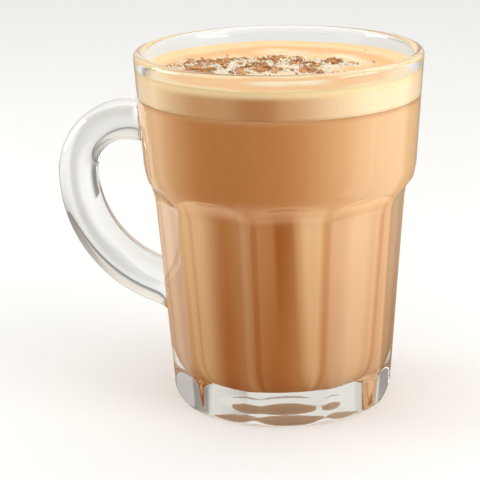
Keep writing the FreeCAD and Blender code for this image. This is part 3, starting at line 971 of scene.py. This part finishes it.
def tea_finish(tree):
    """Milky tea: darker towards the bottom, stirred by clouds, with one painted shade stripe. Its sides
    carry painted light, the last millimetres under the foam are paler, and its underside is paler in
    painted light."""
    _, x, y, z = place_on_piece(tree)
    lower = maths(tree, "SUBTRACT", 1.0, between(tree, z, WAIST_Z, BAND_Z - 3))
    # Darker towards the bottom.
    height = between(tree, z, *DARK_TO_MIDDLE_RISE)
    murk = times(tree, cloud(tree, 42.0, (1, 1, 0.2), 2.4), 0.5, -0.25)
    mixed = blend_colours(tree, maths(tree, "ADD", height, murk, clamp=True), TEA_DARK, TEA_MIDDLE)
    # Painted shade: a dark upright stripe near the middle, below the shoulder.
    stripe = times(tree, between(tree, x, *SHADE_STRIPE_LEFT), between(tree, x, *SHADE_STRIPE_RIGHT))
    painted_stripe_shade = times(tree, stripe, between(tree, z, *SHADE_STRIPE_RISE))
    body = blend_colours(tree, times(tree, painted_stripe_shade, lower), mixed, TEA_PAINTED_SHADE)
    # Painted light: the colour of the lit sides, paler higher up.
    painted_lit_colour = blend_colours(tree, height, TEA_PAINTED_LIT_LOW, TEA_PAINTED_LIT)
    streaked = blend_colours(tree, painted_light_in_tea(tree, x, y, lower), body, painted_lit_colour)
    topped = blend_colours(tree, between(tree, z, TEA_Z - 2.0, TEA_Z + 0.2), streaked, TEA_PALE)
    # Painted light on the underside.
    colour = blend_colours(tree, between(tree, z, FLOOR_Z + 0.9, FLOOR_Z), topped, TEA_UNDER_PAINTED_LIGHT)
    finish(tree, {"Base Color": colour, "Roughness": 0.5, "Specular IOR Level": 0.0})


dress(tea, "milky_tea", tea_finish)

# %% [markdown]
# ### Foam, froth and spice
#
# The foam is cream-coloured with orange patches where tea shows through, a yellower rim at the glass and
# a white froth in the patch. Tiny pores roughen it. At its side, seen through the glass, it is brown, paler
# at both sides in painted light, and darker in a band near the front middle. The bubbles are nearly
# white, and each chip of spice has its own brown.

# %% Foam
CREAM = tint(250, 236, 200)
ORANGE = tint(244, 190, 131)
EDGE_CREAM = tint(246, 217, 166)
FROTH_WHITE = tint(246, 234, 214)
FOAM_SIDE = tint(208, 156, 104)
# Painted light: the colour of the foam's side where the side lamps would light it.
FOAM_PAINTED_LIT = tint(250, 220, 180)
# The foam's side is darker in a band near the front middle: its colour, where it lies across, and how strong.
FOAM_DARK_BAND = tint(190, 128, 76)
ORANGE_BELT, CREAM_RIM = (24, 30), (32.5, 36.5)
RAGGED = 5 * MM
SIDE_FROM, SIDE_FULL = 0.5, 2.6
FOAM_PAINTED_LIT_RIGHT, FOAM_PAINTED_LIT_LEFT = (0.2, 0.8), (-0.3, -0.8)
DARK_BAND_LEFT, DARK_BAND_RIGHT, DARK_BAND_STRENGTH = (-5, 2), (12, 6), 0.9


def carried(tree, name):
    """A number that each point of the mesh carries under a name."""
    attribute = tree.nodes.new("ShaderNodeAttribute")
    attribute.attribute_name = name
    return attribute.outputs["Fac"]


def foam_top(tree, where):
    """Cream and orange clouds, an orange belt and a pale rim by the distance from the axis, pushed about by
    clouds, and white froth by the mask."""
    flat, reach = tree.nodes.new("ShaderNodeVectorMath"), tree.nodes.new("ShaderNodeVectorMath")
    flat.operation, reach.operation = "MULTIPLY", "LENGTH"
    wire(tree, flat, {0: where, 1: (1, 1, 0)})
    distance = wire(tree, reach, {0: flat.outputs["Vector"]}).outputs["Value"]
    push = times(tree, cloud(tree, 60.0, (1, 1, 1), 2.0), RAGGED, -RAGGED / 2)
    ragged = maths(tree, "ADD", distance, push)
    broad = blend_colours(tree, cloud(tree, 70.0, (1, 1, 1), 3.0), ORANGE, CREAM)
    belt = blend_colours(tree, between(tree, ragged, *ORANGE_BELT), broad, ORANGE)
    ringed = blend_colours(tree, between(tree, ragged, *CREAM_RIM), belt, EDGE_CREAM)
    return blend_colours(tree, carried(tree, "froth"), ringed, FROTH_WHITE)


def foam_finish(tree):
    """Milk foam: its top, its side lower down, and pores as a fine bump."""
    where, x, _, z = place_on_piece(tree)
    under = between(tree, z, FOAM_Z - SIDE_FROM, FOAM_Z - SIDE_FULL)
    # Painted light: the foam's side is paler at the far right and left.
    sides = painted_side_light(tree, x, BAND_R, FOAM_PAINTED_LIT_RIGHT, FOAM_PAINTED_LIT_LEFT)
    # Darker in a band near the front middle.
    right_of = times(tree, between(tree, x, *DARK_BAND_RIGHT), DARK_BAND_STRENGTH)
    dark_band = times(tree, between(tree, x, *DARK_BAND_LEFT), right_of)
    side = blend_colours(tree, sides, blend_colours(tree, dark_band, FOAM_SIDE, FOAM_DARK_BAND), FOAM_PAINTED_LIT)
    pores = add(tree, "ShaderNodeTexVoronoi", {"Vector": where, "Scale": 1400}).outputs["Distance"]
    bump = add(tree, "ShaderNodeBump", {"Strength": 0.25, "Distance": 0.0003, "Height": pores})
    finish(tree, {
        "Base Color": blend_colours(tree, under, foam_top(tree, where), side),
        "Roughness": 0.55, "Specular IOR Level": 0.25, "Normal": bump.outputs["Normal"],
        "Subsurface Weight": 0.35, "Subsurface Radius": (1.0, 0.7, 0.45), "Subsurface Scale": 0.0006,
    })


dress(foam, "milk_foam", foam_finish)

# %% Froth bubbles
BUBBLE_CREAM = tint(248, 226, 192)


def bubble_finish(tree):
    """Froth bubbles: nearly white, glossy and soft inside."""
    colour = blend_colours(tree, cloud(tree, 400.0, (1, 1, 1), 3.0), BUBBLE_CREAM, FROTH_WHITE)
    finish(tree, {
        "Base Color": colour, "Roughness": 0.18,
        "Subsurface Weight": 0.6, "Subsurface Radius": (1.0, 0.8, 0.6), "Subsurface Scale": 0.001,
    })


dress(bubbles, "froth", bubble_finish)

# %% Spice
SPICE_TONES = [(0.0, tint(114, 68, 36)), (1.0, tint(232, 188, 142)), (0.3, tint(180, 126, 80)),
               (0.7, tint(214, 164, 114))]
DUST = tint(200, 148, 100)


def graded(tree, value, stops):
    """A colour ramp: stops are places from 0 to 1 with colours."""
    ramp = add(tree, "ShaderNodeValToRGB", {"Fac": value})
    for number, (place, colour) in enumerate(stops):
        element = ramp.color_ramp.elements[number] if number < 2 else ramp.color_ramp.elements.new(place)
        element.position = place
        element.color = colour
    return ramp.outputs["Color"]


def spice_finish(tree):
    """Ground spice: each chip has its own brown, dusted with a finer variation."""
    own = graded(tree, carried(tree, "tone"), SPICE_TONES)
    dusted = blend_colours(tree, cloud(tree, 900.0, (1, 1, 1), 2.0), own, DUST)
    finish(tree, {"Base Color": dusted, "Roughness": 0.8, "Specular IOR Level": 0.2})


dress(spice, "ground_spice", spice_finish)

# %% [markdown]
# ## Floor, light and camera
#
# The mug stands on a wide pale floor. Clear glass shows only what surrounds it, so the light is built from
# large soft panels, each a clean shape that the glass can mirror, in a room that darkens a little towards
# the horizon, which draws the grey lines along the glass edges. Cards, glowing, grey or dark, add soft
# shapes that only mirrored light sees, or also light through the glass.

# %% Floor
PLATE_R, PLATE_CORNERS = 4.0, 96
FLOOR_DROP = 0.05 * MM


def floor_finish(tree):
    """Matt near-white paint with a barely visible cloudiness."""
    colour = blend_colours(tree, cloud(tree, 3.0, (1, 1, 1), 1.0), tint(240, 240, 239), tint(244, 244, 243))
    finish(tree, {"Base Color": colour, "Roughness": 0.9, "Specular IOR Level": 0.1})


plate = turned_points(PLATE_R, all_round(PLATE_CORNERS), -FLOOR_DROP)
floor_mesh = bpy.data.meshes.new("floor")
floor_mesh.from_pydata(plate.tolist(), [], [list(range(PLATE_CORNERS))])
floor = shown("floor", floor_mesh)
dress(floor, "pale_floor", floor_finish)
floor.visible_glossy = False

# %% Soft panels
AIM = Vector((0, 0, 0.055))


def direction(azimuth, elevation):
    """The way from the object towards a lamp or a camera, for an azimuth and elevation in degrees."""
    a, e = math.radians(azimuth), math.radians(elevation)
    return Vector((math.sin(a) * math.cos(e), -math.cos(a) * math.cos(e), math.sin(e)))


def stand(holder, at, azimuth, elevation, distance, roll=0.0):
    """Put a lamp or a camera at a point plus the way back from it times a distance, turned to face the
    point and rolled by an angle."""
    back = direction(azimuth, elevation)
    holder.location = at + back * distance
    holder.rotation_mode = "QUATERNION"
    level = back.to_track_quat("Z", "Y")
    holder.rotation_quaternion = level @ Matrix.Rotation(-roll, 3, "Z").to_quaternion()
    print(holder.name, "at, m", [round(v, 3) for v in holder.location])


def panel(name, azimuth, elevation, distance, width, tall, glow):
    """A soft panel that faces the mug. A lamp's power is its glow times pi times its area."""
    lamp = bpy.data.lights.new(name, "AREA")
    lamp.shape = "RECTANGLE"
    lamp.size, lamp.size_y = width, tall
    lamp.energy = glow * math.pi * width * tall
    stand(shown(name, lamp), AIM, azimuth, elevation, distance)


panel("key", 78, 18, 0.62, 0.36, 0.34, 5.2)
panel("fill", -85, 15, 0.70, 0.36, 0.34, 4.7)
panel("overhead", 190, 75, 1.40, 1.80, 1.80, 0.36)

# %% Cards
CARD_STEPS = 13
CARD_HUE = (1.0, 0.97, 0.90, 1)


def card_finish(tree, glow):
    """Even light, or darkness where the glow is small, that fades out to nothing by the mesh's fade."""
    even = add(tree, "ShaderNodeEmission", {"Color": CARD_HUE, "Strength": glow}).outputs["Emission"]
    clear = tree.nodes.new("ShaderNodeBsdfTransparent").outputs["BSDF"]
    mix = add(tree, "ShaderNodeMixShader", {"Fac": carried(tree, "fade"), 1: clear, 2: even})
    add(tree, "ShaderNodeOutputMaterial", {"Surface": mix.outputs["Shader"]})


def card(name, azimuth, elevation, distance, width, tall, glow, soft, slant=0.0, through=False):
    """A card, glowing or dark, that only mirror reflections see, and light through the glass where asked, to
    draw a soft shape on the glass. It fades over a share of its width and height: the smoothstep of the
    distance from its edge."""
    across, up = np.meshgrid(np.linspace(-1, 1, CARD_STEPS), np.linspace(-1, 1, CARD_STEPS))
    edge = np.clip((1 - np.maximum(np.abs(across), np.abs(up))) / soft, 0, 1)
    back = direction(azimuth, elevation)
    turn = back.to_track_quat("Z", "Y").to_matrix()
    right, top = np.array(turn.col[0]), np.array(turn.col[1])
    flat_up = up * tall / 2
    flat_across = across * width / 2 + flat_up * slant
    points = np.array(AIM + back * distance) + flat_across[..., None] * right + flat_up[..., None] * top
    spot = np.arange(CARD_STEPS**2).reshape(CARD_STEPS, CARD_STEPS)
    quads = np.stack([spot[:-1, :-1], spot[:-1, 1:], spot[1:, 1:], spot[1:, :-1]], axis=-1)
    mesh = bpy.data.meshes.new(name)
    mesh.from_pydata(points.reshape(-1, 3).tolist(), [], quads.reshape(-1, 4).tolist())
    fade = mesh.attributes.new("fade", "FLOAT", "POINT")
    fade.data.foreach_set("value", (edge * edge * (3 - 2 * edge)).ravel())
    shape = shown(name, mesh)
    dress(shape, name, card_finish, glow)
    shape.visible_camera = False
    shape.visible_diffuse = False
    shape.visible_shadow = False
    shape.visible_transmission = through


card("low_right", 106, -20, 0.60, 0.90, 0.44, 1.3, 0.45, slant=0.25)
card("right_strip", 92, -22, 0.55, 0.10, 0.40, 1.6, 0.6, slant=0.2)
card("low_left", -112, -20, 0.60, 0.60, 0.44, 0.6, 0.6)
card("behind", 194.7, 17, 0.70, 0.70, 0.40, 0.82, 0.4, through=True)
card("dark_right", 167, -10, 0.14, 0.08, 0.12, 0.28, 0.7, through=True)
card("dark_left", -110, -8, 0.20, 0.10, 0.12, 0.25, 0.7, through=True)
card("grey_left", 221, -11, 0.13, 0.05, 0.10, 0.71, 0.9, through=True)

# %% The room's own glow
ROOM_STRENGTH = 3.0
ROOM_GLOW = [(-1.0, 0.75), (1.0, 0.36), (-0.8, 0.70), (-0.62, 0.14), (-0.4, 0.06), (0.0, 0.09), (0.3, 0.17)]
WARM, NEUTRAL = (1.0, 0.80, 0.56), (1.0, 0.99, 0.97)


def room():
    """A world whose glow depends on the height looked at: dim at the horizon, bright overhead. Below the
    horizon only mirrored light sees it, because the floor hides it from the rest: dim, but bright at the
    bottom, which draws a pale line along the shoulder."""
    world = bpy.data.worlds.new("room")
    bpy.context.scene.world = world
    tree = emptied(world)
    where = tree.nodes.new("ShaderNodeTexCoord").outputs["Generated"]
    height = add(tree, "ShaderNodeSeparateXYZ", {"Vector": where}).outputs["Z"]
    stops = []
    for rise, glow in ROOM_GLOW:
        hue = WARM if rise < 0 else NEUTRAL
        stops.append(((rise + 1) / 2, (glow * hue[0], glow * hue[1], glow * hue[2], 1)))
    colour = graded(tree, times(tree, height, 0.5, 0.5), stops)
    even = add(tree, "ShaderNodeBackground", {"Color": colour, "Strength": ROOM_STRENGTH})
    add(tree, "ShaderNodeOutputWorld", {"Surface": even.outputs["Background"]})


room()
print("room glow at the horizon", round(ROOM_STRENGTH * dict(ROOM_GLOW)[0.0], 2))

# %% Camera
VIEW_AZIMUTH, VIEW_ELEVATION, VIEW_DISTANCE = 14.7, 16.7, 0.5
LOOK_AT = Vector((0, 0, 0.05))
ROLL = math.radians(0.77)

camera = bpy.data.cameras.new("camera")
camera.lens = 122.87
camera.sensor_width = 36
camera.shift_x = -0.0858
camera.shift_y = -0.0107
camera.clip_start = 0.01
camera_holder = shown("camera", camera)
stand(camera_holder, LOOK_AT, VIEW_AZIMUTH, VIEW_ELEVATION, VIEW_DISTANCE, ROLL)
bpy.context.scene.camera = camera_holder

# %% Render settings that belong to the look
# Light caught in the handle's thick root takes many bounces to get out, and would end black with fewer.
scene = bpy.context.scene
scene.view_settings.view_transform = "Standard"
scene.cycles.use_denoising = True
scene.cycles.max_bounces = 40
scene.cycles.transmission_bounces = 32
scene.cycles.transparent_max_bounces = 24
scene.cycles.diffuse_bounces = 4
scene.cycles.glossy_bounces = 32
scene.cycles.caustics_refractive = True
scene.cycles.caustics_reflective = False
print("light bounces", scene.cycles.max_bounces)
